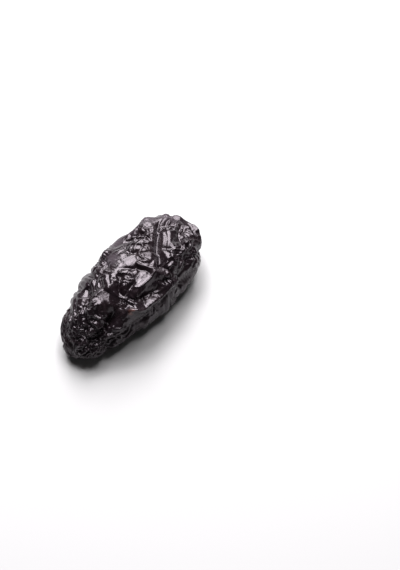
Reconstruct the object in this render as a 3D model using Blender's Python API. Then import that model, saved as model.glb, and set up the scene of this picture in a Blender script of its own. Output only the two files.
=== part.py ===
"""A prune: one dried plum, grown and dried as one piece, lying on its broad side.

Run it with  blender --background --python part.py  or from Blender's text editor.
Metres, +Z up. The fruit's length runs along X, with the blossom end at -X and the stem end at +X.
The origin lies on the surface it rests on, under the middle of its bounding box.
"""

import math

import bmesh
import bpy
import numpy as np

MM = 0.001

# The bare body, before it wrinkles: a little more pointed at the blossom end than at the stem end
LENGTH = 42.0 * MM
WIDTH = 19.4 * MM
CROWN = 8.2 * MM
BELLY = 6.4 * MM
BLOSSOM_END_BLUNTNESS = 2.0
STEM_END_BLUNTNESS = 2.2
STEM_END_SWELL = 0.085
SIDE_BOW = -0.7 * MM
SIDE_SWAY = -1.5 * MM
BLOSSOM_DROOP = 2.6 * MM
NEAR_EDGE_FULLNESS = 0.1
NEAR_EDGE_BEARING = math.radians(136)
NEAR_EDGE_SPREAD = math.radians(26)
PRESSED_DEPTH = 1.0 * MM

# The mesh: sides round the girth, and rings from end to end spaced evenly over the blunt ends
SIDES = 72
RINGS = 80
RING_EVENNESS = 0.12

# Wrinkles between the main folds: the skin's width of fold is half a wavelength
WAVES_IN_A_FIELD = 28
FIELD_WANDER = 2.2 * MM
WANDER_WAVELENGTH = 17.0 * MM
FOLD_WAVELENGTH = 7.2 * MM
FOLD_RISE = 0.36 * MM
PUCKER_WAVELENGTH = 4.0 * MM
PUCKER_RISE = 0.14 * MM
LENGTHWISE_STRETCH = 0.62
FOLD_CREASE_BLUNTNESS = 0.35
ROUTE_SAMPLES = 36
STRAY = 0.18 * MM
STRAY_WAVELENGTH = 5.0 * MM
STRENGTH_SWING = 0.25
CREASE_BLUNTNESS = 0.75
PAD_CALM = 0.8

# The two ends, where the skin is gathered into pleats round a sunken scar
STEM_SCAR_DEPTH = 1.5 * MM
STEM_SCAR_RADIUS = 2.0 * MM
BLOSSOM_SCAR_DEPTH = 0.7 * MM
BLOSSOM_SCAR_RADIUS = 1.6 * MM
PLEATS = 9
PLEAT_UNEVENNESS = 0.4
PLEAT_RISE = 0.2 * MM
PLEAT_START = 3.0 * MM
PLEAT_SPREAD = 2.5 * MM

# Main folds: name, rise in mm (ridges up, furrows down), half width in mm, and the route over the body
# as (share of the half length from the middle, bearing round the girth in degrees from +Y over the top)
MAIN_FOLDS = (
    ("long furrow", -2.0, 1.5, ((-0.85, 150), (-0.70, 130), (-0.50, 120), (-0.30, 115))),
    ("pad furrow", -1.8, 1.2, ((-0.30, 115), (-0.15, 130), (0.05, 135), (0.20, 130))),
    ("upright crease", -1.0, 0.6, ((-0.30, 115), (-0.25, 100), (-0.10, 85))),
    ("pad crack", -0.6, 0.5, ((0.05, 95), (0.10, 105), (0.10, 115))),
    ("crease past the pad", -1.3, 1.0, ((0.65, 70), (0.45, 90), (0.30, 110), (0.20, 120))),
    ("shoulder hollow", -1.0, 1.0, ((0.60, 65), (0.75, 75), (0.80, 90))),
    ("hollow under the shoulder", -0.7, 1.0, ((0.15, 35), (0.30, 45), (0.50, 60))),
    ("hook at the stem end", -0.7, 0.7, ((0.85, 95), (0.70, 105), (0.55, 105))),
    ("flank furrow", -0.9, 0.9, ((0.60, 130), (0.45, 145), (0.30, 150))),
    ("notch", -0.8, 0.7, ((-0.40, 50), (-0.50, 65), (-0.55, 75))),
    ("lower ridge", 1.2, 1.1, ((-0.40, 130), (-0.20, 145), (0.05, 150), (0.30, 145))),
    ("pad rim", 0.6, 0.6, ((-0.10, 115), (0.05, 120), (0.20, 115))),
    ("left ridge", 0.3, 0.7, ((-0.55, 75), (-0.40, 80), (-0.25, 85))),
    ("left swell", 1.1, 1.5, ((-0.55, 80), (-0.50, 100), (-0.40, 110))),
    ("lower crescent", 0.6, 0.6, ((0.10, 90), (0.15, 105), (0.20, 115))),
    ("upper crescent", 0.6, 0.6, ((0.20, 80), (0.30, 95), (0.35, 105))),
    ("twin ridge", 0.5, 0.7, ((-0.35, 90), (-0.20, 85))),
    ("curved ridge", 0.5, 0.6, ((0.50, 110), (0.45, 125), (0.40, 140))),
    ("stem knob", 0.8, 1.0, ((0.65, 115), (0.70, 125))),
    ("stem-end rim", 0.8, 0.8, ((0.90, 50), (0.95, 95), (0.90, 140), (0.80, 150))),
    ("flank pleat", 0.5, 0.5, ((0.70, 145), (0.60, 155), (0.55, 160))),
    ("shoulder", 1.3, 2.2, ((-0.10, 35), (0.20, 35), (0.45, 35), (0.75, 40), (0.90, 50))),
    ("fold over the lobe", 0.7, 0.9, ((-0.85, 50), (-0.70, 75), (-0.60, 100))),
    ("crease in the lobe", -0.7, 0.8, ((-0.90, 100), (-0.75, 100))),
    ("lobe pleat", -0.6, 0.7, ((-0.90, 140), (-0.80, 120))),
    ("far furrow", -1.2, 1.2, ((-0.75, -5), (-0.40, -10), (0.00, -5), (0.35, -20), (0.70, -10))),
    ("far ridge", 0.8, 1.2, ((-0.60, -30), (-0.20, -35), (0.20, -30), (0.55, -40))),
    ("far crease", -0.9, 0.8, ((-0.20, 15), (-0.05, -35), (0.00, -60))),
    ("near furrow", -1.7, 2.2, ((-0.80, 170), (-0.45, 165), (0.00, 160), (0.35, 160), (0.60, 165))),
    ("near ridge", 0.5, 1.4, ((-0.60, 205), (0.15, 205), (0.50, 195), (0.75, 185))),
    ("near crease", -0.6, 0.9, ((0.15, 175), (0.25, 210), (0.35, 235))),
    ("underside furrow", -1.1, 1.4, ((-0.70, 235), (-0.30, 245), (0.10, 240), (0.45, 250))),
    ("second underside furrow", -1.0, 1.2, ((-0.40, 290), (0.00, 280), (0.40, 290), (0.70, 285))),
)

# Places where the skin lies smooth: share of the half length, bearing in degrees, radius in mm
SMOOTH_PADS = (
    (0.05, 115, 3.2),
    (-0.40, 90, 1.9),
    (-0.05, 70, 2.0),
    (0.10, 80, 1.8),
    (0.05, 55, 1.8),
    (0.20, 35, 2.2),
    (0.50, 35, 2.2),
    (0.75, 45, 2.2),
    (0.35, 20, 2.2),
    (0.55, 20, 2.5),
    (0.90, 90, 2.5),
    (-0.30, 160, 3.0),
    (0.10, 160, 3.0),
    (0.45, 160, 2.6),
    (-0.10, 200, 3.0),
    (0.30, -30, 3.0),
)

SKIN_COLOUR = (0.016, 0.011, 0.013, 1.0)
SKIN_ROUGHNESS = 0.32


def clear_scene():
    """Leaves an empty scene."""
    for thing in list(bpy.data.objects):
        bpy.data.objects.remove(thing, do_unlink=True)


def bare_body(along, bearing):
    """Points of the plump body: a bent blunt-ended oval, flatter below, with one fuller edge on top."""
    half_way = (BLOSSOM_END_BLUNTNESS + STEM_END_BLUNTNESS) / 2
    bluntness = half_way + (STEM_END_BLUNTNESS - half_way) * along
    fullness = np.maximum(1 - np.abs(along) ** bluntness, 0) ** (1 / bluntness)
    off_edge = np.mod(bearing - NEAR_EDGE_BEARING + math.pi, 2 * math.pi) - math.pi
    fullness = fullness * (1 + NEAR_EDGE_FULLNESS * np.exp(-((off_edge / NEAR_EDGE_SPREAD) ** 2)))
    half_width = WIDTH / 2 * fullness * (1 + STEM_END_SWELL * along)
    half_height = np.where(np.sin(bearing) > 0, CROWN, BELLY) * fullness
    across = half_width * np.cos(bearing) + (SIDE_BOW + SIDE_SWAY * along) * (1 - along**2)
    up = half_height * np.sin(bearing) - BLOSSOM_DROOP * np.maximum(-along, 0) ** 3
    return np.stack([LENGTH / 2 * along, across, up], axis=-1)


def outward(points):
    """The direction in which the skin rises at each point: square to an ellipsoid of the body's size."""
    direction = points / np.array([LENGTH / 2, WIDTH / 2, (CROWN + BELLY) / 2]) ** 2
    return direction / np.linalg.norm(direction, axis=-1, keepdims=True)


def wave_field(points, wavelength, seed):
    """A smooth random field about 1 high: equal waves of one length, each running its own way."""
    draw = np.random.default_rng(seed)
    heading = draw.normal(size=(3, WAVES_IN_A_FIELD))
    heading /= np.linalg.norm(heading, axis=0)
    phase = draw.uniform(0, 2 * math.pi, WAVES_IN_A_FIELD)
    waves = np.cos(points @ heading * (2 * math.pi / wavelength) + phase)
    return waves.sum(axis=-1) * math.sqrt(2 / WAVES_IN_A_FIELD)


def puffed(field):
    """Turns a wave field into plump cells, 1 high, between creases that sink to -1 where the field is 0."""
    return 1 - 2 * np.exp(-np.hypot(field, FOLD_CREASE_BLUNTNESS) + FOLD_CREASE_BLUNTNESS)


def wandered(points):
    """The points moved about slowly, so that what is laid out on them runs unevenly."""
    drift = [wave_field(points, WANDER_WAVELENGTH, seed) for seed in (11, 12, 13)]
    return points + FIELD_WANDER * np.stack(drift, axis=-1)


def curve_through(route):
    """A smooth curve on the body through a fold's route, by Catmull-Rom."""
    knots = np.array([route[0], *route, route[-1]], float)
    spans = len(route) - 1
    place = np.linspace(0, spans, ROUTE_SAMPLES)
    span = np.minimum(place.astype(int), spans - 1)
    t = (place - span)[:, None]
    before, start, end, after = (knots[span + k] for k in range(4))
    mixed = 0.5 * (
        2 * start
        + (end - before) * t
        + (2 * before - 5 * start + 4 * end - after) * t**2
        + (3 * start - before - 3 * end + after) * t**3
    )
    return bare_body(mixed[:, 0], np.radians(mixed[:, 1]))


def strayed(points):
    """The points moved about a little, so that a main fold strays from its drawn route."""
    drift = [wave_field(points, STRAY_WAVELENGTH, seed) for seed in (14, 15, 16)]
    return points + STRAY * np.stack(drift, axis=-1)


def main_fold(points, rise, half_width, route):
    """One fold's relief: a crease along its route, sharp at the middle, that dies away at both ends."""
    curve = curve_through(route)
    apart = np.linalg.norm(points[:, None, :] - curve[None, :, :], axis=-1)
    along_route = apart.argmin(axis=1) / (ROUTE_SAMPLES - 1) * 2 - 1
    profile = np.exp(CREASE_BLUNTNESS - np.hypot(apart.min(axis=1) / half_width, CREASE_BLUNTNESS))
    return rise * profile * (1 - along_route**4)


def gathered_end(points, bearing, side, depth, radius, turn):
    """A scar sunk at one end, with pleats that run out from it."""
    tip = np.array([side * LENGTH / 2, 0, 0])
    reach = np.linalg.norm(points - tip, axis=-1)
    scar = -depth * np.exp(-((reach / radius) ** 2))
    uneven = bearing + PLEAT_UNEVENNESS * np.sin(2 * bearing + turn)
    pleats = 2 * np.abs(np.cos(PLEATS / 2 * uneven + turn)) - 1
    return scar + PLEAT_RISE * pleats * np.exp(-(((reach - PLEAT_START) / PLEAT_SPREAD) ** 2))


def wrinkling(points):
    """How freely the skin wrinkles at each point: 1 on most of the fruit, and little on the smooth pads."""
    free = np.ones(len(points))
    for along, bearing, radius in SMOOTH_PADS:
        middle = bare_body(np.array(along), np.radians(bearing))
        apart = np.linalg.norm(points - middle, axis=-1)
        free *= 1 - PAD_CALM * np.exp(-((apart / (radius * MM)) ** 4))
    return free


def skin_relief(points, bearing):
    """How far the dried skin stands above the bare body, or sinks below it."""
    uneven = wandered(points)
    lengthwise = uneven * np.array([LENGTHWISE_STRETCH, 1, 1])
    relief = FOLD_RISE * puffed(wave_field(lengthwise, FOLD_WAVELENGTH, 21))
    relief += PUCKER_RISE * puffed(wave_field(uneven, PUCKER_WAVELENGTH, 22))
    relief *= wrinkling(points)
    strength = 1 + STRENGTH_SWING * wave_field(points, STRAY_WAVELENGTH, 23)
    places = strayed(points)
    for _, rise, half_width, route in MAIN_FOLDS:
        relief += strength * main_fold(places, rise * MM, half_width * MM, route)
    relief += gathered_end(points, bearing, 1, STEM_SCAR_DEPTH, STEM_SCAR_RADIUS, 0.4)
    relief += gathered_end(points, bearing, -1, BLOSSOM_SCAR_DEPTH, BLOSSOM_SCAR_RADIUS, 1.3)
    return relief


def set_down(points):
    """Presses the lowest part flat, and puts the origin under the middle of the whole."""
    points[:, 2] = np.maximum(points[:, 2], points[:, 2].min() + PRESSED_DEPTH)
    low, high = points.min(axis=0), points.max(axis=0)
    return points - np.array([(low[0] + high[0]) / 2, (low[1] + high[1]) / 2, low[2]])


def skin_points(sphere):
    """The finished skin's points, from the points of a unit sphere whose poles are on Z."""
    ring_angle = np.arccos(np.clip(-sphere[:, 2], -1, 1))
    along = -np.cos(ring_angle + RING_EVENNESS * np.sin(2 * ring_angle))
    bearing = np.arctan2(sphere[:, 1], sphere[:, 0])
    bare = bare_body(along, bearing)
    return set_down(bare + outward(bare) * skin_relief(bare, bearing)[:, None])


def skin_material():
    """Near-black dried skin, with the shine that sugar gives it."""
    material = bpy.data.materials.new("dried_skin")
    material.use_nodes = True
    surface = material.node_tree.nodes["Principled BSDF"]
    surface.inputs["Base Color"].default_value = SKIN_COLOUR
    surface.inputs["Roughness"].default_value = SKIN_ROUGHNESS
    surface.inputs["Metallic"].default_value = 0.0
    return material


def build_prune(collection):
    """The whole fruit: a sphere with its poles at the fruit's two ends, shaped by the formulas above."""
    shape = bmesh.new()
    bmesh.ops.create_uvsphere(shape, u_segments=SIDES, v_segments=RINGS, radius=1.0)
    sphere = np.array([vertex.co for vertex in shape.verts])
    for vertex, place in zip(shape.verts, skin_points(sphere)):
        vertex.co = place
    bmesh.ops.triangulate(shape, faces=shape.faces)
    bmesh.ops.recalc_face_normals(shape, faces=shape.faces)
    mesh = bpy.data.meshes.new("prune")
    shape.to_mesh(mesh)
    shape.free()
    mesh.shade_smooth()
    mesh.materials.append(skin_material())
    prune = bpy.data.objects.new("prune", mesh)
    collection.objects.link(prune)
    return prune


def main():
    """Clears the scene and models the prune in a collection of its own."""
    clear_scene()
    collection = bpy.data.collections.new("prune")
    bpy.context.scene.collection.children.link(collection)
    build_prune(collection)


if __name__ == "__main__":
    main()
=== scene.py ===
"""One prune on a pale floor, in soft studio light.

The fruit is one piece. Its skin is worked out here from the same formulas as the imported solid, but much
finer: the plump body, the main folds, and then the small wrinkles. These come about as on the real fruit,
where the flesh shrinks and leaves the skin too large for it: the skin is given spare length and let go
until it buckles. The camera and the lights follow the photograph.

Lengths are in metres, and in millimetres where a name ends in _mm. The fruit's length runs along X, from
the blossom end at -X to the stem end at +X, and +Z is up. A place on the body is given as its share of the
half length, from -1 to 1, and its bearing round the girth, from +Y over the top.
"""

import logging
import math
from dataclasses import dataclass, field
from enum import Enum
from typing import Any

import bpy
import numpy as np
from mathutils import Matrix, Vector


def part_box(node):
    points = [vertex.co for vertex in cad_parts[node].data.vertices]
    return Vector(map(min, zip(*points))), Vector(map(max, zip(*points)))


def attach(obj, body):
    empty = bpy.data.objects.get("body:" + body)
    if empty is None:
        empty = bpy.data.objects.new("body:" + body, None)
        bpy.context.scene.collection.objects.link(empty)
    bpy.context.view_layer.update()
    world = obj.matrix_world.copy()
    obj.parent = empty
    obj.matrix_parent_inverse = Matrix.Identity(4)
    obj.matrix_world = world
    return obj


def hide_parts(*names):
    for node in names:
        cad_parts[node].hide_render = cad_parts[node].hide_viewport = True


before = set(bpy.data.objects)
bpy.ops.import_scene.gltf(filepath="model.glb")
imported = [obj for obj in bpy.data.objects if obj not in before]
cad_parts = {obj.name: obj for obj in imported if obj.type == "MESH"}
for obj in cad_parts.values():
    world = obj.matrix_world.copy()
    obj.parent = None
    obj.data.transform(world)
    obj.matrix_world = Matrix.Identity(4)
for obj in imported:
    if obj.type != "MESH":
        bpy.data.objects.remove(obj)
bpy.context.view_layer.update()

LOG = logging.getLogger("prune")
MM = 0.001


def linear(hex_colour: str) -> tuple[float, float, float, float]:
    """Turns an sRGB hex colour into linear red, green, blue and an alpha of 1.

    Args:
        hex_colour: Six hex digits after a hash, such as "#1a1316".

    Returns:
        The colour as Blender's sockets take it.
    """
    parts = [int(hex_colour[place:place + 2], 16) / 255 for place in (1, 3, 5)]
    red, green, blue = (c / 12.92 if c <= 0.04045 else ((c + 0.055) / 1.055) ** 2.4 for c in parts)
    return (red, green, blue, 1.0)


def add_node(tree: bpy.types.NodeTree, kind: str, settings: dict[str, Any] | None = None,
             values: dict[str, Any] | None = None, links: dict[str, Any] | None = None) -> bpy.types.Node:
    """Adds one shader node with its settings, its socket values and the links into it.

    Args:
        tree: The material's or world's node tree.
        kind: The node's type name.
        settings: Properties of the node itself.
        values: Default values, by input socket name or number.
        links: Output sockets to link in, by input socket name or number.

    Returns:
        The new node.
    """
    node = tree.nodes.new(kind)
    for name, value in (settings or {}).items():
        setattr(node, name, value)
    for name, value in (values or {}).items():
        node.inputs[name].default_value = value
    for name, source in (links or {}).items():
        tree.links.new(source, node.inputs[name])
    return node


class End(Enum):
    """The fruit's two ends, each with its side along X."""

    BLOSSOM = -1
    STEM = 1


@dataclass(frozen=True)
class WaveField:
    """A smooth random field about 1 high: equal waves of one length, each running its own way."""

    wavelength_mm: float
    seed: int
    waves: int = 28

    def at(self, points: np.ndarray) -> np.ndarray:
        """Adds the waves up: the sum of cosines, over the root of half their number.

        Args:
            points: Places in metres, one row each.

        Returns:
            The field's value at each place.
        """
        draw = np.random.default_rng(self.seed)
        heading = draw.normal(size=(3, self.waves))
        heading /= np.linalg.norm(heading, axis=0)
        phase = draw.uniform(0, 2 * math.pi, self.waves)
        waves = np.cos(points @ heading * (2 * math.pi / (self.wavelength_mm * MM)) + phase)
        return waves.sum(axis=-1) * math.sqrt(2 / self.waves)


@dataclass(frozen=True)
class Drift:
    """Moves places about smoothly, so that what is laid out on them runs unevenly."""

    reach_mm: float
    wavelength_mm: float
    first_seed: int

    def moved(self, points: np.ndarray) -> np.ndarray:
        """Adds one wave field to each coordinate.

        Args:
            points: Places in metres, one row each.

        Returns:
            The moved places.
        """
        fields = [WaveField(self.wavelength_mm, self.first_seed + axis).at(points) for axis in range(3)]
        return points + self.reach_mm * MM * np.stack(fields, axis=-1)


def puffed(values: np.ndarray, bluntness: float) -> np.ndarray:
    """Turns a wave field into plump cells, 1 high, between creases that sink to -1 where the field is 0.

    Args:
        values: The wave field.
        bluntness: How round the creases' bottoms are, in the field's own units.

    Returns:
        1 less twice the fall of an exponential with the distance from the crease.
    """
    return 1 - 2 * np.exp(bluntness - np.hypot(values, bluntness))


@dataclass(frozen=True)
class Body:
    """The plump body before it wrinkles: a bent blunt-ended oval, flatter below, fuller at one top edge."""

    length: float = 42.0 * MM
    width: float = 19.4 * MM
    crown: float = 8.2 * MM
    belly: float = 6.4 * MM
    blossom_bluntness: float = 2.0
    stem_bluntness: float = 2.2
    stem_swell: float = 0.085
    side_bow: float = -0.7 * MM
    side_sway: float = -1.5 * MM
    blossom_droop: float = 2.6 * MM
    edge_fullness: float = 0.1
    edge_bearing: float = math.radians(136)
    edge_spread: float = math.radians(26)

    def points(self, along: np.ndarray, bearing: np.ndarray) -> np.ndarray:
        """Places on the body: at each step along, an ellipse whose size is (1 - |along|^n)^(1/n).

        Args:
            along: Share of the half length, -1 at the blossom end and 1 at the stem end.
            bearing: Angle round the girth in radians, from +Y over the top.

        Returns:
            The places in metres, with one more axis than the inputs.
        """
        half_way = (self.blossom_bluntness + self.stem_bluntness) / 2
        bluntness = half_way + (self.stem_bluntness - half_way) * along
        fullness = np.maximum(1 - np.abs(along) ** bluntness, 0) ** (1 / bluntness)
        off_edge = np.mod(bearing - self.edge_bearing + math.pi, 2 * math.pi) - math.pi
        fullness = fullness * (1 + self.edge_fullness * np.exp(-((off_edge / self.edge_spread) ** 2)))
        half_width = self.width / 2 * fullness * (1 + self.stem_swell * along)
        half_height = np.where(np.sin(bearing) > 0, self.crown, self.belly) * fullness
        across = half_width * np.cos(bearing) + (self.side_bow + self.side_sway * along) * (1 - along**2)
        up = half_height * np.sin(bearing) - self.blossom_droop * np.maximum(-along, 0) ** 3
        return np.stack([self.length / 2 * along, across, up], axis=-1)

    def outward(self, points: np.ndarray) -> np.ndarray:
        """The direction in which the skin rises: square to an ellipsoid of the body's size."""
        half_sizes = np.array([self.length / 2, self.width / 2, (self.crown + self.belly) / 2])
        direction = points / half_sizes**2
        return direction / np.linalg.norm(direction, axis=-1, keepdims=True)


@dataclass(frozen=True)
class Fold:
    """One fold of the skin: a ridge where its rise is above 0, a furrow where it is below."""

    name: str
    rise_mm: float
    half_width_mm: float
    route: tuple[tuple[float, float], ...]
    samples: int = 36

    def curve(self, body: Body) -> np.ndarray:
        """A smooth curve on the body through the fold's route, by Catmull-Rom.

        Args:
            body: The body that the route lies on.

        Returns:
            The curve's places in metres.
        """
        knots = np.array([self.route[0], *self.route, self.route[-1]], float)
        spans = len(self.route) - 1
        place = np.linspace(0, spans, self.samples)
        span = np.minimum(place.astype(int), spans - 1)
        t = (place - span)[:, None]
        before, start, end, after = (knots[span + k] for k in range(4))
        mixed = 0.5 * (2 * start + (end - before) * t + (2 * before - 5 * start + 4 * end - after) * t**2
                       + (3 * start - before - 3 * end + after) * t**3)
        return body.points(mixed[:, 0], np.radians(mixed[:, 1]))

    def relief(self, points: np.ndarray, body: Body, bluntness: float) -> np.ndarray:
        """The fold's height: it falls off to both sides of the route and dies away at both ends.

        Args:
            points: Places on the body.
            body: The body that the route lies on.
            bluntness: How round the crease is, as a share of its half width.

        Returns:
            The height in metres at each place.
        """
        curve = self.curve(body)
        square = (points**2).sum(-1)[:, None] - 2 * points @ curve.T + (curve**2).sum(-1)
        along_route = square.argmin(axis=1) / (self.samples - 1) * 2 - 1
        apart = np.sqrt(np.maximum(square.min(axis=1), 0))
        profile = np.exp(bluntness - np.hypot(apart / (self.half_width_mm * MM), bluntness))
        return self.rise_mm * MM * profile * (1 - along_route**4)


@dataclass(frozen=True)
class Pad:
    """A round patch of the skin: share of the half length, bearing in degrees, and radius."""

    along: float
    bearing: float
    radius_mm: float

    def cover(self, points: np.ndarray, body: Body) -> np.ndarray:
        """How far each place is in the patch: 1 at its middle, falling steeply past its radius."""
        middle = body.points(np.array(self.along), np.radians(self.bearing))
        apart = np.linalg.norm(points - middle, axis=-1)
        return np.exp(-((apart / (self.radius_mm * MM)) ** 4))


@dataclass(frozen=True)
class GatheredEnd:
    """One end of the fruit: a sunken scar, with uneven pleats that run out from it."""

    end: End
    depth_mm: float
    radius_mm: float
    turn: float
    pleats: int = 9
    unevenness: float = 0.4
    pleat_rise_mm: float = 0.2
    pleat_start_mm: float = 3.0
    pleat_spread_mm: float = 2.5

    def relief(self, points: np.ndarray, bearing: np.ndarray, body: Body) -> np.ndarray:
        """The scar's hollow, a bell curve, and the pleats, a folded cosine of the bearing in a ring.

        Args:
            points: Places on the body.
            bearing: Their bearings in radians.
            body: The body, for its length.

        Returns:
            The height in metres at each place.
        """
        tip = np.array([self.end.value * body.length / 2, 0, 0])
        reach = np.linalg.norm(points - tip, axis=-1) / MM
        scar = -self.depth_mm * np.exp(-((reach / self.radius_mm) ** 2))
        uneven = bearing + self.unevenness * np.sin(2 * bearing + self.turn)
        pleats = 2 * np.abs(np.cos(self.pleats / 2 * uneven + self.turn)) - 1
        ring = np.exp(-(((reach - self.pleat_start_mm) / self.pleat_spread_mm) ** 2))
        return MM * (scar + self.pleat_rise_mm * pleats * ring)


# The main folds: name, rise and half width in mm, and the route as (along, bearing in degrees)
MAIN_FOLDS = tuple(Fold(*fold) for fold in (
    ("long furrow", -2.0, 1.5, ((-0.85, 150), (-0.70, 130), (-0.50, 120), (-0.30, 115))),
    ("pad furrow", -1.8, 1.2, ((-0.30, 115), (-0.15, 130), (0.05, 135), (0.20, 130))),
    ("upright crease", -1.0, 0.6, ((-0.30, 115), (-0.25, 100), (-0.10, 85))),
    ("pad crack", -0.6, 0.5, ((0.05, 95), (0.10, 105), (0.10, 115))),
    ("crease past the pad", -1.3, 1.0, ((0.65, 70), (0.45, 90), (0.30, 110), (0.20, 120))),
    ("shoulder hollow", -1.0, 1.0, ((0.60, 65), (0.75, 75), (0.80, 90))),
    ("hollow under the shoulder", -0.7, 1.0, ((0.15, 35), (0.30, 45), (0.50, 60))),
    ("hook at the stem end", -0.7, 0.7, ((0.85, 95), (0.70, 105), (0.55, 105))),
    ("flank furrow", -0.9, 0.9, ((0.60, 130), (0.45, 145), (0.30, 150))),
    ("notch", -0.8, 0.7, ((-0.40, 50), (-0.50, 65), (-0.55, 75))),
    ("lower ridge", 1.2, 1.1, ((-0.40, 130), (-0.20, 145), (0.05, 150), (0.30, 145))),
    ("pad rim", 0.6, 0.6, ((-0.10, 115), (0.05, 120), (0.20, 115))),
    ("left ridge", 0.3, 0.7, ((-0.55, 75), (-0.40, 80), (-0.25, 85))),
    ("left swell", 1.1, 1.5, ((-0.55, 80), (-0.50, 100), (-0.40, 110))),
    ("lower crescent", 0.6, 0.6, ((0.10, 90), (0.15, 105), (0.20, 115))),
    ("upper crescent", 0.6, 0.6, ((0.20, 80), (0.30, 95), (0.35, 105))),
    ("twin ridge", 0.5, 0.7, ((-0.35, 90), (-0.20, 85))),
    ("curved ridge", 0.5, 0.6, ((0.50, 110), (0.45, 125), (0.40, 140))),
    ("stem knob", 0.8, 1.0, ((0.65, 115), (0.70, 125))),
    ("stem-end rim", 0.8, 0.8, ((0.90, 50), (0.95, 95), (0.90, 140), (0.80, 150))),
    ("flank pleat", 0.5, 0.5, ((0.70, 145), (0.60, 155), (0.55, 160))),
    ("shoulder", 1.3, 2.2, ((-0.10, 35), (0.20, 35), (0.45, 35), (0.75, 40), (0.90, 50))),
    ("fold over the lobe", 0.7, 0.9, ((-0.85, 50), (-0.70, 75), (-0.60, 100))),
    ("crease in the lobe", -0.7, 0.8, ((-0.90, 100), (-0.75, 100))),
    ("lobe pleat", -0.6, 0.7, ((-0.90, 140), (-0.80, 120))),
    ("far furrow", -1.2, 1.2, ((-0.75, -5), (-0.40, -10), (0.00, -5), (0.35, -20), (0.70, -10))),
    ("far ridge", 0.8, 1.2, ((-0.60, -30), (-0.20, -35), (0.20, -30), (0.55, -40))),
    ("far crease", -0.9, 0.8, ((-0.20, 15), (-0.05, -35), (0.00, -60))),
    ("near furrow", -1.7, 2.2, ((-0.80, 170), (-0.45, 165), (0.00, 160), (0.35, 160), (0.60, 165))),
    ("near ridge", 0.5, 1.4, ((-0.60, 205), (0.15, 205), (0.50, 195), (0.75, 185))),
    ("near crease", -0.6, 0.9, ((0.15, 175), (0.25, 210), (0.35, 235))),
    ("underside furrow", -1.1, 1.4, ((-0.70, 235), (-0.30, 245), (0.10, 240), (0.45, 250))),
    ("second underside furrow", -1.0, 1.2, ((-0.40, 290), (0.00, 280), (0.40, 290), (0.70, 285))),
))

# Finer folds that only the skin has
FINE_FOLDS = tuple(Fold(*fold) for fold in (
    ("thin flank fold", 0.4, 0.35, ((0.60, 145), (0.55, 150), (0.45, 155))),
    ("thin fold past the pad", 0.4, 0.4, ((0.50, 110), (0.40, 120))),
    ("thin fold on the lower ridge", 0.35, 0.3, ((-0.25, 130), (-0.05, 135), (0.15, 140))),
    ("start of the lower ridge", 0.5, 0.8, ((-0.45, 130), (-0.30, 140), (-0.15, 145))),
))

# Where a dull bloom of dried sugar lies on the skin: rougher there, and lighter in colour as a painted
# sheen along the shoulder
BLOOM_AND_SHEEN_PATCHES = tuple(Pad(*pad) for pad in (
    (0.00, 55, 1.8), (0.25, 30, 1.8), (0.45, 30, 2.2), (0.65, 35, 2.4), (0.85, 55, 2.4),
))

# Where the skin lies smooth
SMOOTH_PADS = tuple(Pad(*pad) for pad in (
    (0.05, 115, 3.2), (-0.40, 90, 1.9), (-0.05, 70, 2.0), (0.10, 80, 1.8), (0.05, 55, 1.8),
    (0.20, 35, 2.2), (0.50, 35, 2.2), (0.75, 45, 2.2), (0.35, 20, 2.2), (0.55, 20, 2.5), (0.90, 90, 2.5),
    (-0.30, 160, 3.0), (0.10, 160, 3.0), (0.45, 160, 2.6), (-0.10, 200, 3.0), (0.30, -30, 3.0),
))


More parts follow.
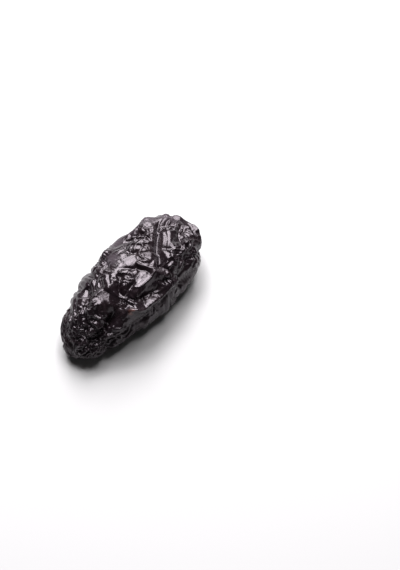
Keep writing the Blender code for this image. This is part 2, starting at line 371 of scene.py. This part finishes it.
@dataclass(frozen=True)
class Relief:
    """How far the dried skin stands above the bare body, or sinks below it, before it buckles."""

    body: Body
    folds: tuple[Fold, ...] = MAIN_FOLDS + FINE_FOLDS
    pads: tuple[Pad, ...] = SMOOTH_PADS
    ends: tuple[GatheredEnd, ...] = (
        GatheredEnd(End.STEM, 1.5, 2.0, 0.4),
        GatheredEnd(End.BLOSSOM, 0.7, 1.6, 1.3),
    )
    wander: Drift = Drift(2.2, 17.0, 11)
    stray: Drift = Drift(0.18, 5.0, 14)
    fold_field: WaveField = WaveField(7.2, 21)
    fold_rise_mm: float = 0.36
    lengthwise_stretch: float = 0.62
    pucker_field: WaveField = WaveField(4.0, 22)
    pucker_rise_mm: float = 0.14
    cell_bluntness: float = 0.15
    crease_bluntness: float = 0.35
    strength_field: WaveField = WaveField(5.0, 23)
    strength_swing: float = 0.25
    pad_calm: float = 0.8
    pad_stillness: float = 2.0
    ripple_drift: Drift = Drift(0.9, 6.0, 31)
    ripple_field: WaveField = WaveField(2.6, 51)
    ripple_rise_mm: float = 0.14
    ripple_stretch: float = 0.7
    ripple_bluntness: float = 0.12
    calm_field: WaveField = WaveField(9.0, 41)
    calm_floor: float = 0.2
    calm_steepness: float = 2.5
    calm_offset: float = 0.4
    grainy: tuple[Pad, ...] = (Pad(-0.80, 110, 6.2), Pad(-0.15, 95, 2.0), Pad(0.40, 55, 3.0))
    pebble_drift: Drift = Drift(0.3, 2.2, 34)
    pebble_field: WaveField = WaveField(1.5, 52)
    pebble_rise_mm: float = 0.13
    pebble_bluntness: float = 0.1
    grain_liveliness: float = 0.5

    def wrinkling(self, points: np.ndarray) -> np.ndarray:
        """How freely the skin wrinkles at each place: 1 on most of the fruit, and little on the pads."""
        free = np.ones(len(points))
        for pad in self.pads:
            free *= 1 - self.pad_calm * pad.cover(points, self.body)
        return free

    def liveliness(self, points: np.ndarray) -> np.ndarray:
        """How much the finest wrinkles come out, by a soft step of a field from quiet to busy."""
        step = 1 / (1 + np.exp(-self.calm_steepness * (self.calm_field.at(points) + self.calm_offset)))
        free = self.wrinkling(points) ** self.pad_stillness
        lively = free * (self.calm_floor + (1 - self.calm_floor) * step)
        return lively + self.grain_liveliness * self.graininess(points)

    def graininess(self, points: np.ndarray) -> np.ndarray:
        """How pebbly the skin is at each place: 1 inside the grainy patches, and 0 away from them."""
        return np.max([patch.cover(points, self.body) for patch in self.grainy], axis=0)

    def height(self, points: np.ndarray, bearing: np.ndarray) -> np.ndarray:
        """Adds up the folds between the main ones, the main folds, the gathered ends and the ripples.

        Args:
            points: Places on the bare body.
            bearing: Their bearings in radians.

        Returns:
            The height in metres at each place.
        """
        uneven = self.wander.moved(points)
        lengthwise = uneven * np.array([self.lengthwise_stretch, 1, 1])
        relief = self.fold_rise_mm * MM * puffed(self.fold_field.at(lengthwise), self.cell_bluntness)
        relief += self.pucker_rise_mm * MM * puffed(self.pucker_field.at(uneven), self.cell_bluntness)
        relief *= self.wrinkling(points)
        strength = 1 + self.strength_swing * self.strength_field.at(points)
        places = self.stray.moved(points)
        for fold in self.folds:
            relief += strength * fold.relief(places, self.body, self.crease_bluntness)
        for end in self.ends:
            relief += end.relief(points, bearing, self.body)
        rippled = self.ripple_drift.moved(points) * np.array([self.ripple_stretch, 1, 1])
        ripples = -puffed(self.ripple_field.at(rippled), self.ripple_bluntness)
        relief += self.ripple_rise_mm * MM * self.liveliness(points) * ripples
        pebbles = puffed(self.pebble_field.at(self.pebble_drift.moved(points)), self.pebble_bluntness)
        return relief + self.pebble_rise_mm * MM * self.graininess(points) * pebbles


@dataclass(frozen=True)
class SpareSkin:
    """Skin with more length than the flesh under it, which is let go until it buckles into wrinkles.

    The skin is a net of springs whose rest lengths are longer than the surface that they lie on. It resists
    bending, and the flesh holds it softly. All of it works in units of the net's mean spacing.
    """

    steps: int = 350
    share: float = 0.12
    stretch: float = 0.22
    diagonal: float = 0.6
    bend: float = 0.22
    hold: float = 0.008
    side_hold: float = 0.01
    drag: float = 0.86
    pace: float = 0.5
    stir: float = 0.05
    still_rings: int = 3
    shortest: float = 0.35
    least_length: float = 1e-6
    seed: int = 5
    girth_sway: float = 0.3
    girth_field: WaveField = WaveField(8.0, 61)
    end_rings: int = 40
    links: tuple[tuple[int, int], ...] = ((0, 1), (1, 0), (1, 1), (1, -1))

    def spare(self, points: np.ndarray, liveliness: np.ndarray) -> tuple[np.ndarray, np.ndarray]:
        """Spare length round the girth and lengthwise, so that wrinkles run more one way or the other.

        Args:
            points: Places on the bare body, as a grid of rings by sides.
            liveliness: How much each place wrinkles.

        Returns:
            Two grids of the share of spare length: round the girth, and lengthwise.
        """
        rings = np.arange(len(points))
        from_end = np.clip(np.minimum(rings, rings[::-1]) / self.end_rings, 0, 1)[:, None]
        level = self.share * from_end * liveliness
        tilt = np.clip(self.girth_sway * self.girth_field.at(points), -1, 1)
        return level * (1 + tilt), level * (1 - tilt)

    def settle(self, base: np.ndarray, outward: np.ndarray,
               spare: tuple[np.ndarray, np.ndarray]) -> np.ndarray:
        """Steps the net until it has buckled.

        Args:
            base: The surface's places, a grid of rings by sides whose first and last rings are the tips.
            outward: The surface's normals, of unit length.
            spare: Shares of spare length round the girth and lengthwise.

        Returns:
            The buckled surface's places, on the same grid.
        """
        unit = (np.median(np.linalg.norm(np.diff(base, axis=0), axis=-1))
                + np.median(np.linalg.norm(np.roll(base, -1, axis=1) - base, axis=-1))) / 2
        base = (base / unit).astype(np.float32)
        outward = outward.astype(np.float32)
        nets = [self._net(base, spare, *link) for link in self.links]
        draw = np.random.default_rng(self.seed).normal(0, self.stir, (*base.shape[:2], 1))
        skin = base + outward * draw.astype(np.float32)
        speed = np.zeros_like(skin)
        for _ in range(self.steps):
            lifted = skin - base
            force = -self.bend * self._unevenness(self._unevenness(lifted))
            for rings, sides, rest, give in nets:
                start = skin[:len(skin) - rings]
                reach = np.roll(skin, -sides, axis=1)[rings:] - start
                length = np.sqrt(np.einsum("...k,...k", reach, reach)) + self.least_length
                pull = reach * ((length - rest) / length * give)[..., None]
                force[:len(skin) - rings] += pull
                force[rings:] -= np.roll(pull, sides, axis=1)
            raised = np.einsum("...k,...k", lifted, outward)[..., None] * outward
            force -= self.hold * raised + self.side_hold * (lifted - raised)
            speed = self.drag * speed + self.pace * force
            speed[:self.still_rings] = 0
            speed[-self.still_rings:] = 0
            skin += speed
        return skin.astype(float) * unit

    def _net(self, base: np.ndarray, spare: tuple[np.ndarray, np.ndarray], rings: int,
             sides: int) -> tuple[int, int, np.ndarray, np.ndarray]:
        """One family of springs, each from a place to the one some rings and sides on.

        Args:
            base: The surface's places in the net's units.
            spare: Shares of spare length round the girth and lengthwise.
            rings: Rings from a spring's start to its end.
            sides: Sides from a spring's start to its end.

        Returns:
            The two steps, the springs' rest lengths, and how strongly each pulls.
        """
        share = spare[0] if rings == 0 else spare[1] if sides == 0 else (spare[0] + spare[1]) / 2
        length = np.linalg.norm(np.roll(base, -sides, axis=1)[rings:] - base[:len(base) - rings], axis=-1)
        mean_share = (np.roll(share, -sides, axis=1)[rings:] + share[:len(share) - rings]) / 2
        strength = self.stretch * (self.diagonal if rings and sides else 1.0)
        give = strength / np.maximum(length, self.shortest)
        return rings, sides, (length * (1 + mean_share)).astype(np.float32), give.astype(np.float32)

    @staticmethod
    def _unevenness(grid: np.ndarray) -> np.ndarray:
        """Each place's four neighbours' mean, less the place itself; 0 on the first and last rings."""
        out = np.zeros_like(grid)
        beside = np.roll(grid, 1, axis=1)[1:-1] + np.roll(grid, -1, axis=1)[1:-1]
        out[1:-1] = (grid[2:] + grid[:-2] + beside) / 4 - grid[1:-1]
        return out


@dataclass(frozen=True)
class DriedSkin:
    """Dried plum skin: a thin waxy film over dark sugary flesh.

    It is nearly black with a plum tinge, and all that shows of it is its shine: satin on the stretched
    pads, wet-looking where syrup has come through, and duller down in the folds.
    """

    skin: str = "#1b1418"
    ruddy: str = "#20171a"
    flesh: str = "#6a4034"
    # Painted sheen: this lighter colour on the bloom patches stands in for the light that the shoulder
    # catches
    bloom_and_painted_sheen: str = "#383036"
    bloom_roughness: float = 0.38
    shine_tint: str = "#fff4fc"
    ior: float = 1.5
    roughness: tuple[float, float] = (0.17, 0.3)
    patch_mm: float = 5.0
    patch_detail: float = 3.0
    ruddy_patches: tuple[float, float] = (0.45, 0.7)
    satin_patches: tuple[float, float] = (0.35, 0.65)
    grain_mm: float = 0.45
    grain_detail: float = 2.0
    grain_depth_mm: float = 0.035

    def material(self) -> bpy.types.Material:
        """Builds the material on Object coordinates and the skin's own attributes.

        Returns:
            The material.
        """
        material = bpy.data.materials.new("dried_plum_skin")
        material.use_nodes = True
        tree = material.node_tree
        surface = tree.nodes["Principled BSDF"]
        surface.inputs["IOR"].default_value = self.ior
        surface.inputs["Specular Tint"].default_value = linear(self.shine_tint)
        place = add_node(tree, "ShaderNodeTexCoord").outputs["Object"]
        patches = add_node(tree, "ShaderNodeTexNoise",
                           values={"Scale": 1 / (self.patch_mm * MM), "Detail": self.patch_detail},
                           links={"Vector": place}).outputs["Fac"]
        ruddiness = add_node(tree, "ShaderNodeMapRange",
                             values={"From Min": self.ruddy_patches[0], "From Max": self.ruddy_patches[1]},
                             links={"Value": patches}).outputs["Result"]
        skin = add_node(tree, "ShaderNodeMix", {"data_type": "RGBA"},
                        {6: linear(self.skin), 7: linear(self.ruddy)}, {0: ruddiness}).outputs[2]
        torn = add_node(tree, "ShaderNodeAttribute", {"attribute_name": "torn"}).outputs["Fac"]
        bloom_and_painted_sheen = add_node(tree, "ShaderNodeAttribute", {"attribute_name": "bloom_and_painted_sheen"}).outputs["Fac"]
        # Painted sheen: the base colour is lightened on the bloom patches; the rougher shine there is the
        # bloom
        with_painted_sheen = add_node(tree, "ShaderNodeMix", {"data_type": "RGBA"}, {7: linear(self.bloom_and_painted_sheen)},
                          {0: bloom_and_painted_sheen, 6: skin}).outputs[2]
        colour = add_node(tree, "ShaderNodeMix", {"data_type": "RGBA"}, {7: linear(self.flesh)},
                          {0: torn, 6: with_painted_sheen}).outputs[2]
        tree.links.new(colour, surface.inputs["Base Color"])
        satin = add_node(tree, "ShaderNodeMapRange",
                         values={"From Min": self.satin_patches[0], "From Max": self.satin_patches[1],
                                 "To Min": self.roughness[0], "To Max": self.roughness[1]},
                         links={"Value": patches}).outputs["Result"]
        rough = add_node(tree, "ShaderNodeMix", values={3: self.bloom_roughness},
                         links={0: bloom_and_painted_sheen, 2: satin}).outputs[0]
        tree.links.new(rough, surface.inputs["Roughness"])
        grain = add_node(tree, "ShaderNodeTexNoise",
                         values={"Scale": 1 / (self.grain_mm * MM), "Detail": self.grain_detail},
                         links={"Vector": place}).outputs["Fac"]
        bump = add_node(tree, "ShaderNodeBump",
                        values={"Strength": 1.0, "Distance": self.grain_depth_mm * MM},
                        links={"Height": grain}).outputs["Normal"]
        tree.links.new(bump, surface.inputs["Normal"])
        return material


@dataclass
class Prune:
    """The whole fruit's skin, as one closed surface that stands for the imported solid."""

    node: str = "prune"
    rings: int = 330
    sides: int = 290
    ring_evenness: float = 0.12
    pressed_depth: float = 1.0 * MM
    tiny: float = 1e-9
    least_normal: float = 1e-20
    least_tilt: float = 1e-12
    body: Body = field(default_factory=Body)
    spare_skin: SpareSkin = field(default_factory=SpareSkin)
    finish: DriedSkin = field(default_factory=DriedSkin)
    torn_spot: Pad = Pad(-0.35, 135, 0.7)
    torn_field: WaveField = WaveField(0.9, 71)
    torn_level: float = 0.6
    torn_swing: float = 0.5

    def build(self) -> bpy.types.Object:
        """Builds and dresses the skin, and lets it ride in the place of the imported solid.

        Returns:
            The skin's object.
        """
        along, bearing = self._grid()
        bare = self.body.points(along, bearing)
        bare = np.where(np.abs(bare) < self.tiny, self.tiny, bare).reshape(-1, 3)
        relief = Relief(self.body)
        risen = bare + self.body.outward(bare) * relief.height(bare, bearing.ravel())[:, None]
        surface = risen.reshape(*along.shape, 3)
        liveliness = relief.liveliness(bare).reshape(along.shape)
        spare = self.spare_skin.spare(bare.reshape(surface.shape), liveliness)
        surface = self.spare_skin.settle(surface, self._normals(surface, bare), spare)
        skin = self._mesh(self._set_down(surface))
        ragged = np.clip(self.torn_level + self.torn_swing * self.torn_field.at(bare), 0, 1)
        torn = self.torn_spot.cover(bare, self.body) * ragged
        self._store(skin.data, "torn", torn.reshape(along.shape))
        # Bloom patches along the shoulder: rougher skin, and a painted sheen in their lighter colour
        bloom_and_painted_sheen = np.max([patch.cover(bare, self.body) for patch in BLOOM_AND_SHEEN_PATCHES], axis=0)
        self._store(skin.data, "bloom_and_painted_sheen", bloom_and_painted_sheen.reshape(along.shape))
        skin.data.materials.append(self.finish.material())
        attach(skin, "root")
        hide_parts(self.node)
        return skin

    def _grid(self) -> tuple[np.ndarray, np.ndarray]:
        """Along and bearing at each grid place, with the rings closer together at the blunt ends."""
        ring_angle = np.linspace(0, math.pi, self.rings)
        bearing = np.linspace(0, 2 * math.pi, self.sides, endpoint=False)
        along = -np.cos(ring_angle + self.ring_evenness * np.sin(2 * ring_angle))
        return tuple(np.meshgrid(along, bearing, indexing="ij"))

    def _normals(self, surface: np.ndarray, bare: np.ndarray) -> np.ndarray:
        """The surface's own unit normals: the cross product of its two directions, turned outwards."""
        round_girth = np.roll(surface, -1, axis=1) - np.roll(surface, 1, axis=1)
        lengthwise = np.gradient(surface, axis=0)
        normals = np.cross(round_girth, lengthwise)
        normals /= np.linalg.norm(normals, axis=-1, keepdims=True) + self.least_normal
        outward = self.body.outward(bare).reshape(surface.shape)
        return normals * np.sign((normals * outward).sum(-1, keepdims=True) + self.least_tilt)

    def _set_down(self, surface: np.ndarray) -> np.ndarray:
        """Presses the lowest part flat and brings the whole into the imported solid's box.

        Args:
            surface: The skin's places.

        Returns:
            The skin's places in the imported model's frame.
        """
        lowest = surface[..., 2].min() + self.pressed_depth
        surface[..., 2] = np.maximum(surface[..., 2], lowest)
        low, high = surface.min(axis=(0, 1)), surface.max(axis=(0, 1))
        box_low, box_high = (np.array(corner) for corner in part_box(self.node))
        return box_low + (surface - low) * (box_high - box_low) / (high - low)

    def _mesh(self, surface: np.ndarray) -> bpy.types.Object:
        """Makes the closed mesh: triangles between the rings, and a fan at each tip.

        Args:
            surface: The skin's places, a grid whose first and last rings are the tips.

        Returns:
            The new object, linked into the scene.
        """
        inner = surface[1:-1].reshape(-1, 3)
        tips = surface[[0, -1]].mean(axis=1)
        ids = np.arange(len(inner)).reshape(-1, self.sides)
        after = np.roll(ids, -1, axis=1)
        blossom_tip = np.full(self.sides, len(inner))
        faces = np.concatenate([
            np.stack([ids[:-1], ids[1:], after[1:]], -1).reshape(-1, 3),
            np.stack([ids[:-1], after[1:], after[:-1]], -1).reshape(-1, 3),
            np.stack([blossom_tip, ids[0], after[0]], -1),
            np.stack([blossom_tip + 1, after[-1], ids[-1]], -1),
        ])
        points = np.concatenate([inner, tips])
        corner = points[faces]
        if np.einsum("ij,ij->", corner[:, 0], np.cross(corner[:, 1], corner[:, 2])) < 0:
            faces = faces[:, ::-1]
        mesh = bpy.data.meshes.new("prune_skin")
        mesh.from_pydata(points, [], faces)
        mesh.shade_smooth()
        mesh.update()
        skin = bpy.data.objects.new("prune_skin", mesh)
        bpy.context.scene.collection.objects.link(skin)
        return skin

    @staticmethod
    def _store(mesh: bpy.types.Mesh, name: str, grid: np.ndarray) -> None:
        """Stores one value for each of the mesh's points, from a grid with the tips as its end rings."""
        values = np.concatenate([grid[1:-1].ravel(), grid[[0, -1]].mean(axis=1)])
        attribute = mesh.attributes.new(name, "FLOAT", "POINT")
        attribute.data.foreach_set("value", values.astype(np.float32))


@dataclass(frozen=True)
class Softbox:
    """A square softbox that faces the fruit, placed by its direction: away, to the right, and up."""

    name: str
    away: float
    right: float
    up: float
    size: float
    power: float
    colour: str = "#fffdff"
    distance: float = 0.6


@dataclass(frozen=True)
class Studio:
    """Floor, light and camera, as the photograph has them."""

    frame_width: int = 400
    frame_height: int = 570
    sensor: float = 36.0
    lens: float = 100.0
    clip_start: float = 0.01
    azimuth: float = math.radians(-52)
    elevation: float = math.radians(60)
    pixels_per_metre: float = 4440.0
    fruit_pixel: tuple[float, float] = (130.7, 282.9)
    fruit_middle: tuple[float, float, float] = (0.0, 0.0, 7.5 * MM)
    floor_size: float = 4.0
    floor_colour: str = "#c6c6c6"
    floor_roughness: float = 0.6
    world_colour: str = "#ffffff"
    world_light: float = 0.04
    softboxes: tuple[Softbox, ...] = (
        Softbox("back_softbox", 1.0, 0.0, 0.9, 0.4, 6.4),
        Softbox("top_softbox", 0.3, 0.3, 1.0, 0.2, 1.4),
        Softbox("left_softbox", 0.42, -0.25, 0.9, 0.26, 2.0),
    )

    def _directions(self) -> tuple[Vector, Vector, Vector]:
        """The camera's right, up and backward directions."""
        turn, tilt = self.azimuth, self.elevation
        back = Vector((math.sin(turn) * math.cos(tilt), -math.cos(turn) * math.cos(tilt), math.sin(tilt)))
        right = Vector((math.cos(turn), math.sin(turn), 0))
        return right, back.cross(right), back

    def set_camera(self) -> None:
        """Places the camera so that the fruit's middle falls on its pixel of the photograph's frame."""
        right, up, back = self._directions()
        focal_pixels = self.lens / self.sensor * self.frame_height
        distance = focal_pixels / self.pixels_per_metre
        aside = (self.fruit_pixel[0] - self.frame_width / 2) / self.pixels_per_metre
        above = (self.frame_height / 2 - self.fruit_pixel[1]) / self.pixels_per_metre
        data = bpy.data.cameras.new("camera")
        data.lens = self.lens
        data.sensor_width = self.sensor
        data.clip_start = self.clip_start
        camera = bpy.data.objects.new("camera", data)
        camera.matrix_world = Matrix((right, up, back)).transposed().to_4x4()
        camera.matrix_world.translation = (
            Vector(self.fruit_middle) + back * distance - right * aside - up * above)
        bpy.context.scene.collection.objects.link(camera)
        bpy.context.scene.camera = camera

    def lay_floor(self) -> None:
        """Lays a plain pale floor, far wider than the view."""
        half = self.floor_size / 2
        mesh = bpy.data.meshes.new("floor")
        corners = [(-half, -half, 0), (half, -half, 0), (half, half, 0), (-half, half, 0)]
        mesh.from_pydata(corners, [], [(0, 1, 2, 3)])
        material = bpy.data.materials.new("matt_white_card")
        material.use_nodes = True
        surface = material.node_tree.nodes["Principled BSDF"]
        surface.inputs["Base Color"].default_value = linear(self.floor_colour)
        surface.inputs["Roughness"].default_value = self.floor_roughness
        mesh.materials.append(material)
        floor = bpy.data.objects.new("floor", mesh)
        bpy.context.scene.collection.objects.link(floor)

    def light(self) -> None:
        """Sets up the softboxes round the fruit and a faint even light from all sides."""
        right, _, back = self._directions()
        away = Vector((-back.x, -back.y, 0)).normalized()
        for box in self.softboxes:
            toward = (away * box.away + right * box.right + Vector((0, 0, box.up))).normalized()
            data = bpy.data.lights.new(box.name, "AREA")
            data.shape = "SQUARE"
            data.size = box.size
            data.energy = box.power
            data.color = linear(box.colour)[:3]
            lamp = bpy.data.objects.new(box.name, data)
            lamp.matrix_world = toward.to_track_quat("Z", "Y").to_matrix().to_4x4()
            lamp.matrix_world.translation = Vector(self.fruit_middle) + toward * box.distance
            bpy.context.scene.collection.objects.link(lamp)
        world = bpy.data.worlds.new("world")
        bpy.context.scene.world = world
        world.use_nodes = True
        backdrop = world.node_tree.nodes["Background"]
        backdrop.inputs["Color"].default_value = linear(self.world_colour)
        backdrop.inputs["Strength"].default_value = self.world_light
        bpy.context.scene.view_settings.view_transform = "Standard"


def main() -> None:
    """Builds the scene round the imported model."""
    logging.basicConfig(level=logging.INFO, format="%(message)s")
    studio = Studio()
    studio.set_camera()
    LOG.info("camera: %.0f mm lens", studio.lens)
    studio.lay_floor()
    studio.light()
    LOG.info("floor and %d softboxes", len(studio.softboxes))
    skin = Prune().build()
    LOG.info("%s: %d points, %d triangles", skin.name, len(skin.data.vertices), len(skin.data.polygons))


if __name__ == "__main__":
    main()
